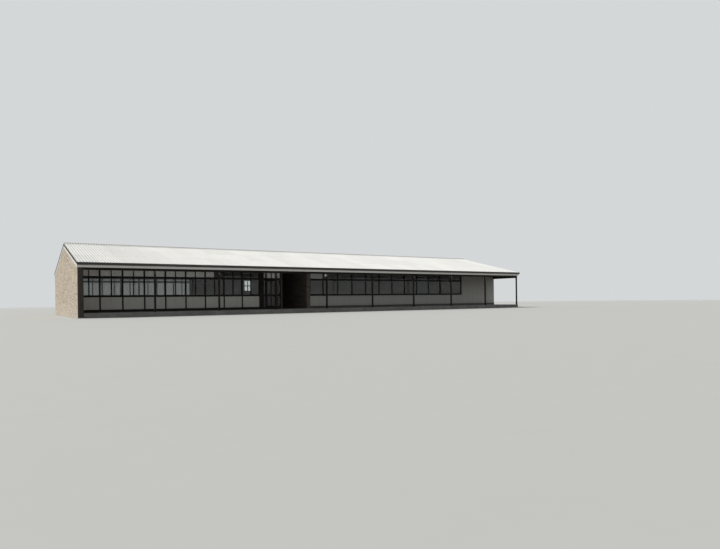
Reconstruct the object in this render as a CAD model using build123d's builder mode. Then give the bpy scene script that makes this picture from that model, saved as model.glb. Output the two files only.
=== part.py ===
"""Single-storey school block: nine bays under one corrugated gable roof, a veranda on each side.

Frame: millimetres, X along the length, Y from the entrance side (-Y) to the rear, +Z up.
The origin lies on the ground under the middle of the roof, so the ridge is at Y = 0.
West is the -X end, whose brick gable closes both verandas. East is the +X end, where they are open.
"""

import os
from math import cos, radians, tan

from build123d import *

# Setting out: the post grid and its thirds
bay = 3658.0
bay_count = 9
modules_per_bay = 3
grid_start = 235.0  # from the outer face of the west gable to grid line 0
post_size = 100.0

# Depths
block_depth = 12292.0  # between the two lines of posts
veranda_depth = 2488.0  # from a line of posts to the face of the wall behind it
eave_overhang = 190.0
slab_nose = 100.0  # veranda slab outside the posts
gable_thickness = 280.0
masonry_thickness = 230.0
window_recess = 60.0  # windows set back in the masonry
infill_thickness = 30.0

# Heights above the floor
slab_height = 240.0
plinth_height = 150.0
plinth_thickness = 12.0
sill_bottom = 855.0
sill_top = 965.0
transom_bottom = 1940.0
transom_top = 2055.0
eave_height = 2665.0  # top of the sheeting at its lower edge

# Veranda beams
beam_height = 250.0
beam_width = 100.0
end_beam_drop = 60.0  # end beams below the underside of the long beams
end_beam_height = 250.0

# Roof
roof_pitch = 13.5
sheeting_depth = 60.0
sheet_overhang = 50.0  # sheeting past the fascia, over the gutter
verge_overhang = 20.0  # sheeting past the faces of the gables
ridge_wing = 230.0
ridge_lap = 8.0
ridge_roll = 62.0
rafter_space = 145.0  # between the sheeting and the lining, measured upright
lining_thickness = 10.0
ceiling_thickness = 12.0
fascia_thickness = 25.0
fascia_height = 235.0
barge_board_height = 145.0
barge_board_thickness = 16.0
capping_height = 95.0
capping_thickness = 18.0
gutter_width = 115.0
gutter_height = 135.0
gutter_top_drop = 25.0  # gutter lip below the sheeting's lower edge
gutter_back_drop = 85.0  # back edge below the lip, clear of the sheeting
gutter_sheet = 4.0
gutter_corner = 14.0
gutter_bead = 8.0

# Timber window walls
frame_head = 100.0
mullion_width = 80.0
frame_depth = 125.0
glazing_bar = 45.0
rebate_width = 12.0
rebate_depth = 70.0
glass_thickness = 6.0
spandrel_thickness = 60.0
spandrel_recess = 20.0
recessed_frame_depth = 75.0
recessed_mullion = 70.0
recessed_rebate_depth = 40.0

# Runs of windows, in modules
front_west_module_count = 9  # from grid line 0
rear_west_module_count = 7  # from grid line 0
porch_module_count = 4  # from the end of the front west windows to the first east mullion
east_module_count = 10  # from the first east mullion to the last

# Entrance, porch and single windows
door_offset = 476.0  # from the last module line of the front west windows
door_opening_width = 770.0
door_opening_height = 1985.0
screen_beside_door = 295.0  # frame between the doorway and the porch
screen_stile = 45.0
entrance_west_stile = 260.0
porch_wall = 100.0
porch_width = 1870.0
porch_depth = 3658.0
cross_wall = 280.0  # brick wall between the porch and the east windows
last_east_light = 1120.0  # from the last east mullion to the end of the windows
high_window_offset = 105.0  # from the last module line of the rear west windows
high_window_width = 1430.0
small_window_offset = 2730.0  # from the end of the high window
small_window_width = 620.0
small_window_bottom = 1310.0
small_window_height = 880.0
single_window_frame = 50.0
single_window_bar = 60.0

# Door
door_gap = 8.0
door_floor_gap = 10.0
door_thickness = 40.0
door_stile = 100.0
door_bottom_rail = 200.0
door_top_rail = 110.0
door_lock_rail_bottom = 860.0
door_lock_rail_top = 970.0
door_muntin = 45.0
hinge_radius = 9.0
hinge_pin_radius = 5.0
hinge_pin_clearance = 0.05
hinge_length = 100.0
hinge_gap = 2.0
hinge_inset = 250.0
hinge_stand_off = 10.0
hinge_leaf_thickness = 3.0
hinge_leaf_width = 32.0
handle_height = 1000.0
handle_length = 300.0
handle_width = 25.0
handle_thickness = 8.0
handle_stand_off = 55.0
handle_bend = 25.0
handle_edge = 60.0

# Lamp on the fourth post
lamp_bay_count = 4
lamp_drop = 88.0  # middle of the lamp below the beam
lamp_width = 100.0
lamp_length = 170.0
lamp_base_depth = 22.0
lamp_bowl_depth = 68.0
lamp_rim = 8.0
lamp_bowl_fillet = 20.0

# Derived places
module = bay / modules_per_bay
length = grid_start + bay_count * bay + post_size / 2
west = -length / 2
east = length / 2
west_inside = west + gable_thickness
east_inside = east - gable_thickness
post_line = block_depth / 2
wall_face = post_line - veranda_depth
post_face = post_line + post_size / 2
eave_face = post_line + eave_overhang
fascia_back = eave_face - fascia_thickness
floor = slab_height
slope = tan(radians(roof_pitch))
sheeting_drop = sheeting_depth / cos(radians(roof_pitch))
sheet_end = eave_face + sheet_overhang
ridge_height = floor + eave_height + slope * sheet_end


def grid(distance):
    """X of a place given by its distance from grid line 0."""
    return west + grid_start + distance


def module_lines(first, last):
    return [grid(j * module) for j in range(first, last + 1)]


def roof_top(y):
    """Height of the sheeting's upper plane above the place y."""
    return ridge_height - slope * abs(y)


def roof_underside(y):
    return roof_top(y) - sheeting_drop


def lining_underside(y):
    return roof_underside(y) - rafter_space - lining_thickness


beam_bottom = lining_underside(post_line) - beam_height
end_beam_bottom = beam_bottom - end_beam_drop
wall_top = lining_underside(wall_face)
head = wall_top - frame_head

# Rows of a window wall, from the floor up
spandrel_row = (floor + plinth_height, floor + sill_bottom)
light_row = (floor + sill_top, floor + transom_bottom)
top_light_row = (floor + transom_top, head)


def box_between(x0, x1, y0, y1, z0, z1):
    """Adds a rectangular block between two corners to the part being built."""
    with Locations(((x0 + x1) / 2, (y0 + y1) / 2, (z0 + z1) / 2)):
        Box(x1 - x0, abs(y1 - y0), z1 - z0)


def facade(y):
    """Upright plane at y, drawn as seen from the front: local X is X, local Y is Z."""
    return Plane(origin=(0, y, 0), x_dir=(1, 0, 0), z_dir=(0, -1, 0))


def section(x):
    """Upright plane across the building at x: local X is Y, local Y is Z."""
    return Plane(origin=(x, 0, 0), x_dir=(0, 1, 0), z_dir=(1, 0, 0))


def rectangle_between(x0, x1, z0, z1, mode=Mode.ADD):
    with Locations(((x0 + x1) / 2, (z0 + z1) / 2)):
        Rectangle(abs(x1 - x0), z1 - z0, mode=mode)


def outline_face(points):
    """Straight-sided face through the given corners of the sketch being drawn."""
    Polygon(*points, align=None)


def save(shape, label):
    """Labels a finished sub-part and writes it as one STEP file."""
    shape.label = label
    export_step(shape, f"parts/{label}.step")


os.makedirs("parts", exist_ok=True)

# Slabs on the ground
with BuildPart() as room_slab:
    box_between(west_inside, east, -wall_face, wall_face, 0, floor)
save(room_slab.part, "room_slab")

with BuildPart() as veranda_slabs:
    for side in (-1, 1):
        box_between(west_inside, east, side * wall_face, side * (post_line + slab_nose), 0, floor)
save(veranda_slabs.part, "veranda_slabs")

# Brick gable walls, raked to the underside of the sheeting
with BuildPart() as west_gable_wall:
    with BuildSketch(section(west)):
        outline_face(
            [
                (-fascia_back, 0),
                (post_face, 0),
                (post_face, roof_underside(post_face)),
                (0, roof_underside(0)),
                (-fascia_back, roof_underside(fascia_back)),
            ]
        )
    extrude(amount=gable_thickness)
save(west_gable_wall.part, "west_gable_wall")

east_gable_end = wall_face - masonry_thickness
with BuildPart() as east_gable_wall:
    with BuildSketch(section(east_inside)):
        outline_face(
            [
                (-east_gable_end, floor),
                (east_gable_end, floor),
                (east_gable_end, roof_underside(east_gable_end)),
                (0, roof_underside(0)),
                (-east_gable_end, roof_underside(east_gable_end)),
            ]
        )
    extrude(amount=gable_thickness)
save(east_gable_wall.part, "east_gable_wall")

# Sheets that close the east gable above the end beams
end_beam_top = end_beam_bottom + end_beam_height
with BuildPart() as east_gable_infills:
    for side in (-1, 1):
        with BuildSketch(section(east - infill_thickness)):
            outline_face(
                [
                    (side * fascia_back, lining_underside(fascia_back)),
                    (side * post_line, lining_underside(post_line)),
                    (side * (post_line - post_size / 2), lining_underside(post_line)),
                    (side * (post_line - post_size / 2), end_beam_top),
                    (side * wall_face, end_beam_top),
                    (side * wall_face, wall_top),
                    (side * east_gable_end, wall_top),
                    (side * east_gable_end, roof_underside(east_gable_end)),
                    (side * fascia_back, roof_underside(fascia_back)),
                ]
            )
        extrude(amount=infill_thickness)
save(east_gable_infills.part, "east_gable_infills")

# Veranda posts and beams
with BuildPart() as veranda_posts:
    with BuildSketch(Plane.XY.offset(floor)):
        for side in (-1, 1):
            with Locations(*[(grid(k * bay), side * post_line) for k in range(1, bay_count + 1)]):
                Rectangle(post_size, post_size)
    extrude(amount=beam_bottom - floor)
save(veranda_posts.part, "veranda_posts")

beam_outer = post_line + beam_width / 2
beam_inner = post_line - beam_width / 2
with BuildPart() as veranda_beams:
    for side in (-1, 1):
        with BuildSketch(section(west_inside)):
            outline_face(
                [
                    (side * beam_outer, beam_bottom),
                    (side * beam_inner, beam_bottom),
                    (side * beam_inner, lining_underside(post_line)),
                    (side * post_line, lining_underside(post_line)),
                    (side * beam_outer, lining_underside(beam_outer)),
                ]
            )
        extrude(amount=east - west_inside)
save(veranda_beams.part, "veranda_beams")

end_beam_x = grid(bay_count * bay)
with BuildPart() as veranda_end_beams:
    for side in (-1, 1):
        box_between(
            end_beam_x - beam_width / 2,
            end_beam_x + beam_width / 2,
            side * wall_face,
            side * (post_line - post_size / 2),
            end_beam_bottom,
            end_beam_top,
        )
save(veranda_end_beams.part, "veranda_end_beams")

# Linings: raked over the verandas, level over the rooms
with BuildPart() as veranda_linings:
    for side in (-1, 1):
        with BuildSketch(section(west_inside)):
            outline_face(
                [
                    (side * fascia_back, lining_underside(fascia_back)),
                    (side * wall_face, lining_underside(wall_face)),
                    (side * wall_face, lining_underside(wall_face) + lining_thickness),
                    (side * fascia_back, lining_underside(fascia_back) + lining_thickness),
                ]
            )
        extrude(amount=east - infill_thickness - west_inside)
save(veranda_linings.part, "veranda_linings")

with BuildPart() as ceiling:
    box_between(west_inside, east_inside, -wall_face, wall_face, wall_top, wall_top + ceiling_thickness)
save(ceiling.part, "ceiling")


def roof_slope(side):
    """Sheeting of one slope, as the envelope of its corrugations."""
    with BuildPart() as sheeting:
        with BuildSketch(section(west - verge_overhang)):
            outline_face(
                [
                    (0, roof_top(0)),
                    (side * sheet_end, roof_top(sheet_end)),
                    (side * sheet_end, roof_underside(sheet_end)),
                    (0, roof_underside(0)),
                ]
            )
        extrude(amount=length + 2 * verge_overhang)
    return sheeting.part


save(roof_slope(-1), "front_roof_slope")
save(roof_slope(1), "rear_roof_slope")

# Ridge capping: a roll with two wings that lie on the sheeting
roll_edge = roof_top(ridge_roll) + ridge_lap
with BuildPart() as ridge_capping:
    with BuildSketch(section(west - verge_overhang)):
        with BuildLine():
            Polyline(
                (-ridge_roll, roll_edge),
                (-ridge_wing, roof_top(ridge_wing) + ridge_lap),
                (-ridge_wing, roof_top(ridge_wing)),
                (0, roof_top(0)),
                (ridge_wing, roof_top(ridge_wing)),
                (ridge_wing, roof_top(ridge_wing) + ridge_lap),
                (ridge_roll, roll_edge),
            )
            ThreePointArc((ridge_roll, roll_edge), (0, roll_edge + ridge_roll), (-ridge_roll, roll_edge))
        make_face()
    extrude(amount=length + 2 * verge_overhang)
save(ridge_capping.part, "ridge_capping")

# Pale boards along both eaves, up to the sheeting
fascia_top = roof_underside(eave_face)
with BuildPart() as fascias:
    for side in (-1, 1):
        box_between(west, east, side * fascia_back, side * eave_face, fascia_top - fascia_height, fascia_top)
save(fascias.part, "fascias")

# Open gutters with a rolled lip and closed ends, against the fascias
gutter_top = floor + eave_height - gutter_top_drop
gutter_bottom = gutter_top - gutter_height
gutter_west = west - capping_thickness
gutter_length = length + 2 * capping_thickness
with BuildPart() as gutters:
    for side in (-1, 1):
        lip = side * (eave_face + gutter_width)
        inner_back = side * (eave_face + gutter_sheet)
        inner_front = side * (eave_face + gutter_width - gutter_sheet)
        with BuildSketch(section(gutter_west)) as outline:
            outline_face(
                [
                    (side * eave_face, gutter_top - gutter_back_drop),
                    (side * eave_face, gutter_bottom),
                    (lip, gutter_bottom),
                    (lip, gutter_top),
                ]
            )
            fillet(outline.vertices().group_by(Axis.Z)[0], gutter_corner)
        extrude(amount=gutter_length)
        with BuildSketch(section(gutter_west + gutter_sheet)) as hollow:
            rectangle_between(inner_back, inner_front, gutter_bottom + gutter_sheet, gutter_top)
            fillet(hollow.vertices().group_by(Axis.Z)[0], gutter_corner - gutter_sheet)
        extrude(amount=gutter_length - 2 * gutter_sheet, mode=Mode.SUBTRACT)
        with BuildSketch(section(gutter_west)):
            with Locations((lip - side * gutter_bead, gutter_top - gutter_bead)):
                Circle(gutter_bead)
        extrude(amount=gutter_length)
save(gutters.part, "gutters")


def rake_boards(thickness, drop, height):
    """Boards along the rakes of both gables, plumb cut at the eaves and joined at the ridge."""
    with BuildPart() as boards:
        for x_start in (west - thickness, east):
            with BuildSketch(section(x_start)):
                outline_face(
                    [
                        (0, roof_underside(0) - drop),
                        (eave_face, roof_underside(eave_face) - drop),
                        (eave_face, roof_underside(eave_face) - drop - height),
                        (0, roof_underside(0) - drop - height),
                        (-eave_face, roof_underside(eave_face) - drop - height),
                        (-eave_face, roof_underside(eave_face) - drop),
                    ]
                )
            extrude(amount=thickness)
    return boards.part


save(rake_boards(capping_thickness, 0, capping_height), "barge_cappings")
save(rake_boards(barge_board_thickness, capping_height, barge_board_height), "barge_boards")


# Timber-framed glazed walls
def lights_between(edges, bar_width, rows):
    """Openings (x0, x1, z0, z1) of each row between bars that stand on the edges."""
    openings = []
    last = len(edges) - 1
    for z0, z1 in rows:
        for index in range(last):
            x0 = edges[index] + (bar_width / 2 if index > 0 else bar_width)
            x1 = edges[index + 1] - (bar_width / 2 if index + 1 < last else bar_width)
            openings.append((x0, x1, z0, z1))
    return openings


def split_by_bar(openings, bar_width):
    """Halves each opening with an upright glazing bar."""
    halves = []
    for x0, x1, z0, z1 in openings:
        middle = (x0 + x1) / 2
        halves.append((x0, middle - bar_width / 2, z0, z1))
        halves.append((middle + bar_width / 2, x1, z0, z1))
    return halves


def draw_panes(glazed):
    """Outlines of the panes, which lap the bars by the width of the rebate."""
    for x0, x1, z0, z1 in glazed:
        rectangle_between(x0 - rebate_width, x1 + rebate_width, z0 - rebate_width, z1 + rebate_width)


def rebated_frame(outline, panels, glazed, face_y, depth, rebate, inward):
    """Frame around panels and glazed openings, rebated from inside for each pane of glass.

    face_y is the outer face, and inward is +1 where the room lies towards +Y.
    """
    with BuildPart() as frame:
        with BuildSketch(facade(face_y)):
            rectangle_between(*outline)
            for opening in panels + glazed:
                rectangle_between(*opening, mode=Mode.SUBTRACT)
        extrude(amount=-inward * depth)
        with BuildSketch(facade(face_y + inward * (depth - rebate))):
            draw_panes(glazed)
        extrude(amount=-inward * rebate, mode=Mode.SUBTRACT)
    return frame.part


def panes(glazed, face_y, depth, rebate, inward):
    """One sheet of glass in each rebate, against its stop."""
    with BuildPart() as glass:
        with BuildSketch(facade(face_y + inward * (depth - rebate))):
            draw_panes(glazed)
        extrude(amount=-inward * glass_thickness)
    return glass.part


def spandrel_panels(openings, face_y, inward):
    """Flat panels that fill the openings below the sill."""
    with BuildPart() as panels:
        with BuildSketch(facade(face_y + inward * spandrel_recess)):
            for opening in openings:
                rectangle_between(*opening)
        extrude(amount=-inward * spandrel_thickness)
    return panels.part


def west_window_wall(module_count, inward, side_name):
    """Full-height window wall of the west room. Saves its frame and panels, returns its glass."""
    face_y = -inward * wall_face
    lines = [west_inside, *module_lines(1, module_count)]
    lines[-1] += mullion_width / 2
    panels = lights_between(lines, mullion_width, [spandrel_row])
    lights = split_by_bar(lights_between(lines, mullion_width, [light_row, top_light_row]), glazing_bar)
    outline = (lines[0], lines[-1], floor, wall_top)
    frame = rebated_frame(outline, panels, lights, face_y, frame_depth, rebate_depth, inward)
    save(frame, f"{side_name}_frame_west")
    save(spandrel_panels(panels, face_y, inward), f"{side_name}_spandrels_west")
    return panes(lights, face_y, frame_depth, rebate_depth, inward)


def recessed_windows(outline, lights, inward):
    """Frame and glass of windows set back in a masonry wall."""
    place = (-inward * (wall_face - window_recess), recessed_frame_depth, recessed_rebate_depth, inward)
    return rebated_frame(outline, [], lights, *place), panes(lights, *place)


front_west_glass = west_window_wall(front_west_module_count, 1, "front")
rear_west_glass = west_window_wall(rear_west_module_count, -1, "rear")

# Entrance screen: a side light at each side of the doorway and two top lights over it
screen_start = grid(front_west_module_count * module) + mullion_width / 2
door_start = grid(front_west_module_count * module + door_offset)
door_end = door_start + door_opening_width
screen_end = door_end + screen_beside_door
door_head = floor + door_opening_height
side_lights = []
for z0, z1 in (spandrel_row, light_row, top_light_row):
    side_lights.append((screen_start + entrance_west_stile, door_start - screen_stile, z0, z1))
    side_lights.append((door_end + screen_stile, screen_end - screen_stile, z0, z1))
over_lights = split_by_bar(
    [(door_start + screen_stile, door_end - screen_stile, *top_light_row)], glazing_bar
)
with BuildPart() as entrance_side_frames:
    for x0, x1 in ((screen_start, door_start), (door_end, screen_end)):
        beside = [light for light in side_lights if x0 < light[0] < x1]
        outline = (x0, x1, floor, wall_top)
        add(rebated_frame(outline, [], beside, -wall_face, frame_depth, rebate_depth, 1))
save(entrance_side_frames.part, "entrance_side_frames")
outline = (door_start, door_end, door_head, wall_top)
save(
    rebated_frame(outline, [], over_lights, -wall_face, frame_depth, rebate_depth, 1),
    "entrance_head_frame",
)
save(panes(side_lights + over_lights, -wall_face, frame_depth, rebate_depth, 1), "entrance_glass")

# Entrance door: a glazed timber leaf that opens into the room, hung at its west stile
door_inner_face = frame_depth - wall_face
door_outer_face = door_inner_face - door_thickness
leaf_west = door_start + door_gap
leaf_east = door_end - door_gap
leaf_bottom = floor + door_floor_gap
leaf_top = door_head - door_gap
door_rows = (
    (leaf_bottom + door_bottom_rail, floor + door_lock_rail_bottom),
    (floor + door_lock_rail_top, leaf_top - door_top_rail),
)
door_panes = split_by_bar(
    [(leaf_west + door_stile, leaf_east - door_stile, *row) for row in door_rows], door_muntin
)
door_rebate = (door_thickness + glass_thickness) / 2
outline = (leaf_west, leaf_east, leaf_bottom, leaf_top)
save(
    rebated_frame(outline, [], door_panes, door_outer_face, door_thickness, door_rebate, 1),
    "entrance_door",
)
save(panes(door_panes, door_outer_face, door_thickness, door_rebate, 1), "entrance_door_glass")

# Door hinges: the pins and outer knuckles belong to the frame, the middle knuckles to the leaf
hinge_x = door_start + door_gap / 2
hinge_y = door_inner_face + hinge_stand_off
hinge_leaf_face = door_inner_face + hinge_leaf_thickness
knuckle = (hinge_length - 2 * hinge_gap) / 3
hinge_places = (leaf_bottom + hinge_inset, leaf_top - hinge_inset - hinge_length)


def upright_round(x, y, z, radius, height, mode=Mode.ADD):
    """Upright cylinder that stands on the height z."""
    with Locations((x, y, z + height / 2)):
        Cylinder(radius, height, mode=mode)


with BuildPart() as door_frame_hinges:
    for z in hinge_places:
        for z0 in (z, z + hinge_length - knuckle):
            upright_round(hinge_x, hinge_y, z0, hinge_radius, knuckle)
            box_between(
                hinge_x - hinge_leaf_width, hinge_x, door_inner_face, hinge_leaf_face, z0, z0 + knuckle
            )
        upright_round(hinge_x, hinge_y, z, hinge_pin_radius, hinge_length)
save(door_frame_hinges.part, "door_frame_hinges")

with BuildPart() as door_leaf_hinges:
    for z in hinge_places:
        z0 = z + knuckle + hinge_gap
        upright_round(hinge_x, hinge_y, z0, hinge_radius, knuckle)
        box_between(
            hinge_x, hinge_x + hinge_leaf_width, door_inner_face, hinge_leaf_face, z0, z0 + knuckle
        )
        upright_round(
            hinge_x, hinge_y, z0, hinge_pin_radius + hinge_pin_clearance, knuckle, mode=Mode.SUBTRACT
        )
save(door_leaf_hinges.part, "door_leaf_hinges")

# Pull handles on both faces of the leaf, each a flat bar bent at both ends
handle_x = leaf_east - handle_edge
handle_bottom = floor + handle_height - handle_length / 2
with BuildPart() as door_handles:
    for face_y, outward in ((door_outer_face, -1), (door_inner_face, 1)):
        foot = (handle_x, face_y, handle_bottom)
        with BuildLine(Plane(origin=foot, x_dir=(0, outward, 0), z_dir=(outward, 0, 0))):
            FilletPolyline(
                (0, 0),
                (handle_stand_off, 0),
                (handle_stand_off, handle_length),
                (0, handle_length),
                radius=handle_bend,
            )
        with BuildSketch(Plane(origin=foot, x_dir=(1, 0, 0), z_dir=(0, outward, 0))):
            Rectangle(handle_width, handle_thickness)
        sweep()
save(door_handles.part, "door_handles")

# Porch recess beside the entrance, closed under the ridge
porch_west = screen_end + porch_wall
porch_east = porch_west + porch_width
porch_back = porch_depth - wall_face
windows_west = porch_east + cross_wall
with BuildPart() as porch_west_wall:
    box_between(porch_west - porch_wall, porch_west, -wall_face, porch_back, floor, wall_top)
save(porch_west_wall.part, "porch_west_wall")
with BuildPart() as porch_cross_wall:
    box_between(porch_east, windows_west, -wall_face, porch_back, floor, wall_top)
save(porch_cross_wall.part, "porch_cross_wall")
with BuildPart() as porch_back_wall:
    box_between(
        porch_west - porch_wall, windows_west, porch_back, porch_back + porch_wall, floor, wall_top
    )
save(porch_back_wall.part, "porch_back_wall")
with BuildPart() as porch_header:
    box_between(porch_west, porch_east, -wall_face, masonry_thickness - wall_face, head, wall_top)
save(porch_header.part, "porch_header")

# Front wall, east part: a low wall under the windows that rises to full height past their end
first_east_line = front_west_module_count + porch_module_count
inner_lines = module_lines(first_east_line, first_east_line + east_module_count)
windows_east = inner_lines[-1] + last_east_light
with BuildPart() as front_wall_east:
    with BuildSketch(facade(-wall_face)):
        outline_face(
            [
                (windows_west, floor),
                (east, floor),
                (east, wall_top),
                (windows_east, wall_top),
                (windows_east, floor + sill_bottom),
                (windows_west, floor + sill_bottom),
            ]
        )
    extrude(amount=-masonry_thickness)
save(front_wall_east.part, "front_wall_east")
with BuildPart() as front_plinth_east:
    with BuildSketch(facade(-wall_face)):
        rectangle_between(windows_west, east, floor, floor + plinth_height)
    extrude(amount=plinth_thickness)
save(front_plinth_east.part, "front_plinth_east")

east_lights = lights_between(
    [windows_west, *inner_lines, windows_east], recessed_mullion, [light_row, top_light_row]
)
front_east_frame, front_east_glass = recessed_windows(
    (windows_west, windows_east, floor + sill_bottom, wall_top), east_lights, 1
)
save(front_east_frame, "front_frame_east")
with BuildPart() as front_glass:
    add(front_west_glass)
    add(front_east_glass)
save(front_glass.part, "front_glass")

# Rear wall past the west windows, with a high window and a small one of four panes
high_west = grid(rear_west_module_count * module + high_window_offset)
high_east = high_west + high_window_width
high_outline = (high_west, high_east, floor + transom_top, head)
small_west = high_east + small_window_offset
small_bottom = floor + small_window_bottom
small_outline = (
    small_west, small_west + small_window_width, small_bottom, small_bottom + small_window_height
)
rear_wall_start = grid(rear_west_module_count * module) + mullion_width / 2
with BuildPart() as rear_wall:
    with BuildSketch(facade(wall_face)):
        rectangle_between(rear_wall_start, east, floor, wall_top)
        for outline in (high_outline, small_outline):
            rectangle_between(*outline, mode=Mode.SUBTRACT)
    extrude(amount=masonry_thickness)
save(rear_wall.part, "rear_wall")


def inside_frame(outline, z0, z1):
    """Two openings side by side within a window frame, between two heights."""
    x0, x1 = outline[0] + single_window_frame, outline[1] - single_window_frame
    return split_by_bar([(x0, x1, z0, z1)], single_window_bar)


high_lights = inside_frame(high_outline, high_outline[2] + single_window_frame, head - single_window_frame)
small_middle = (small_outline[2] + small_outline[3]) / 2
small_lights = inside_frame(
    small_outline, small_outline[2] + single_window_frame, small_middle - single_window_bar / 2
) + inside_frame(
    small_outline, small_middle + single_window_bar / 2, small_outline[3] - single_window_frame
)
with BuildPart() as rear_window_frames:
    for outline, lights in ((high_outline, high_lights), (small_outline, small_lights)):
        add(recessed_windows(outline, lights, -1)[0])
save(rear_window_frames.part, "rear_window_frames")
with BuildPart() as rear_glass:
    add(rear_west_glass)
    for outline, lights in ((high_outline, high_lights), (small_outline, small_lights)):
        add(recessed_windows(outline, lights, -1)[1])
save(rear_glass.part, "rear_glass")

# Bulkhead lamp with round ends on the west face of one post, under the beam
lamp_plane = Plane(
    origin=(grid(lamp_bay_count * bay) - post_size / 2, -post_line, beam_bottom - lamp_drop),
    x_dir=(0, -1, 0),
    z_dir=(-1, 0, 0),
)
with BuildPart() as veranda_lamp:
    with BuildSketch(lamp_plane):
        SlotOverall(lamp_length, lamp_width, rotation=90)
    extrude(amount=lamp_base_depth)
    with BuildSketch(lamp_plane.offset(lamp_base_depth)):
        SlotOverall(lamp_length - 2 * lamp_rim, lamp_width - 2 * lamp_rim, rotation=90)
    extrude(amount=lamp_bowl_depth)
    fillet(veranda_lamp.edges().group_by(Axis.X)[0], lamp_bowl_fillet)
save(veranda_lamp.part, "veranda_lamp")
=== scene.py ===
# %% [markdown]
# # A school block in nine bays
# The building is a long, low block of classrooms: one storey under a corrugated roof, with a
# veranda down each side, brick gables, walls of timber windows and a glazed entrance beside a
# porch. Its solids come packed in one frame, in metres. The ground is at zero, the entrance side
# faces -Y, and the brick end that closes both verandas is at -X.
# The lesson dresses those solids: plain ones get a finish, and where the real thing is
# built from many parts, such as bricks, sheets or frames, the parts are made and take its place.

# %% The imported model
import math
import random

import bmesh
import bpy
from mathutils import Matrix, Vector


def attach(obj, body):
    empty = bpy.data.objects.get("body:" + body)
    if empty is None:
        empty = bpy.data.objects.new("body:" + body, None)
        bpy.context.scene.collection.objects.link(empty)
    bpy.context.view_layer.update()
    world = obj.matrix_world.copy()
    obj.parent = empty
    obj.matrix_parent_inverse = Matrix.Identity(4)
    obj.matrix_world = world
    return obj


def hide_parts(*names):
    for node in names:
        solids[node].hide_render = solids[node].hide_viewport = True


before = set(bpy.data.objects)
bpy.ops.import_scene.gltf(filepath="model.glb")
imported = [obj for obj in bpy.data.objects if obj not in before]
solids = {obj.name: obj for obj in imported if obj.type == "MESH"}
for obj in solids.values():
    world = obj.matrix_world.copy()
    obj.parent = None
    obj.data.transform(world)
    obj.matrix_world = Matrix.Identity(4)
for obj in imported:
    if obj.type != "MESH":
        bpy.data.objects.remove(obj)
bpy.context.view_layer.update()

scene = bpy.context.scene
chance = random.Random(1954)
print("solids in the packed model:", len(solids))

# %% [markdown]
# ## Setting out
# A carpenter sets the block out from a few numbers: posts every 12 feet, windows in thirds of
# that, verandas of about 8 feet and one roof pitch. Keeping the same numbers here means that
# a new mullion or sheet lands exactly where its solid was, with no fitting by eye.

# %% Setting out
bay = 3.658
bay_count = 9
module = bay / 3
west, east = -16.6035, 16.6035
grid_zero = west + 0.235  # the line that bays and windows are counted from
gable_thickness = 0.28
west_inside = west + gable_thickness
floor = 0.24
wall_face, post_line, eave_face = 3.658, 6.146, 6.336  # each from the line of the ridge
sheet_end, verge = 6.386, 0.020
post_half = 0.05
fine_joint = 0.0015  # where two boards or sheets meet
roof_pitch = math.radians(13.5)
pitch_slope = math.tan(roof_pitch)
sheet_space = 0.06 / math.cos(roof_pitch)
lining_drop = 0.155
eave_height = floor + 2.665
ridge_height = eave_height + pitch_slope * sheet_end


def roof_under(y):
    """Underside of the sheeting, at the distance y from the line of the ridge."""
    return ridge_height - sheet_space - pitch_slope * abs(y)


def lining_under(y):
    """Underside of the lining, at the same distance."""
    return roof_under(y) - lining_drop


def lengths(start, end, count):
    """Both ends of each of the equal lengths between two places."""
    step = (end - start) / count
    return [(start + k * step, start + (k + 1) * step) for k in range(count)]


wall_top = lining_under(wall_face)
print("ridge at", round(ridge_height, 3), "wall top at", round(wall_top, 3))

# %% [markdown]
# ## A bench for making parts
# Most of the building is made of straight members: bricks, boards, posts, rails. They could be
# modelled one by one with the cube tool and a bevel, but there are thousands of them. So a
# small bench gathers many closed solids into one mesh. Each solid is a skin lofted over a few
# rings of corners. It also remembers two things for the finishes: a tone, which makes one brick
# darker than the next, and the direction of its grain.


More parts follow.
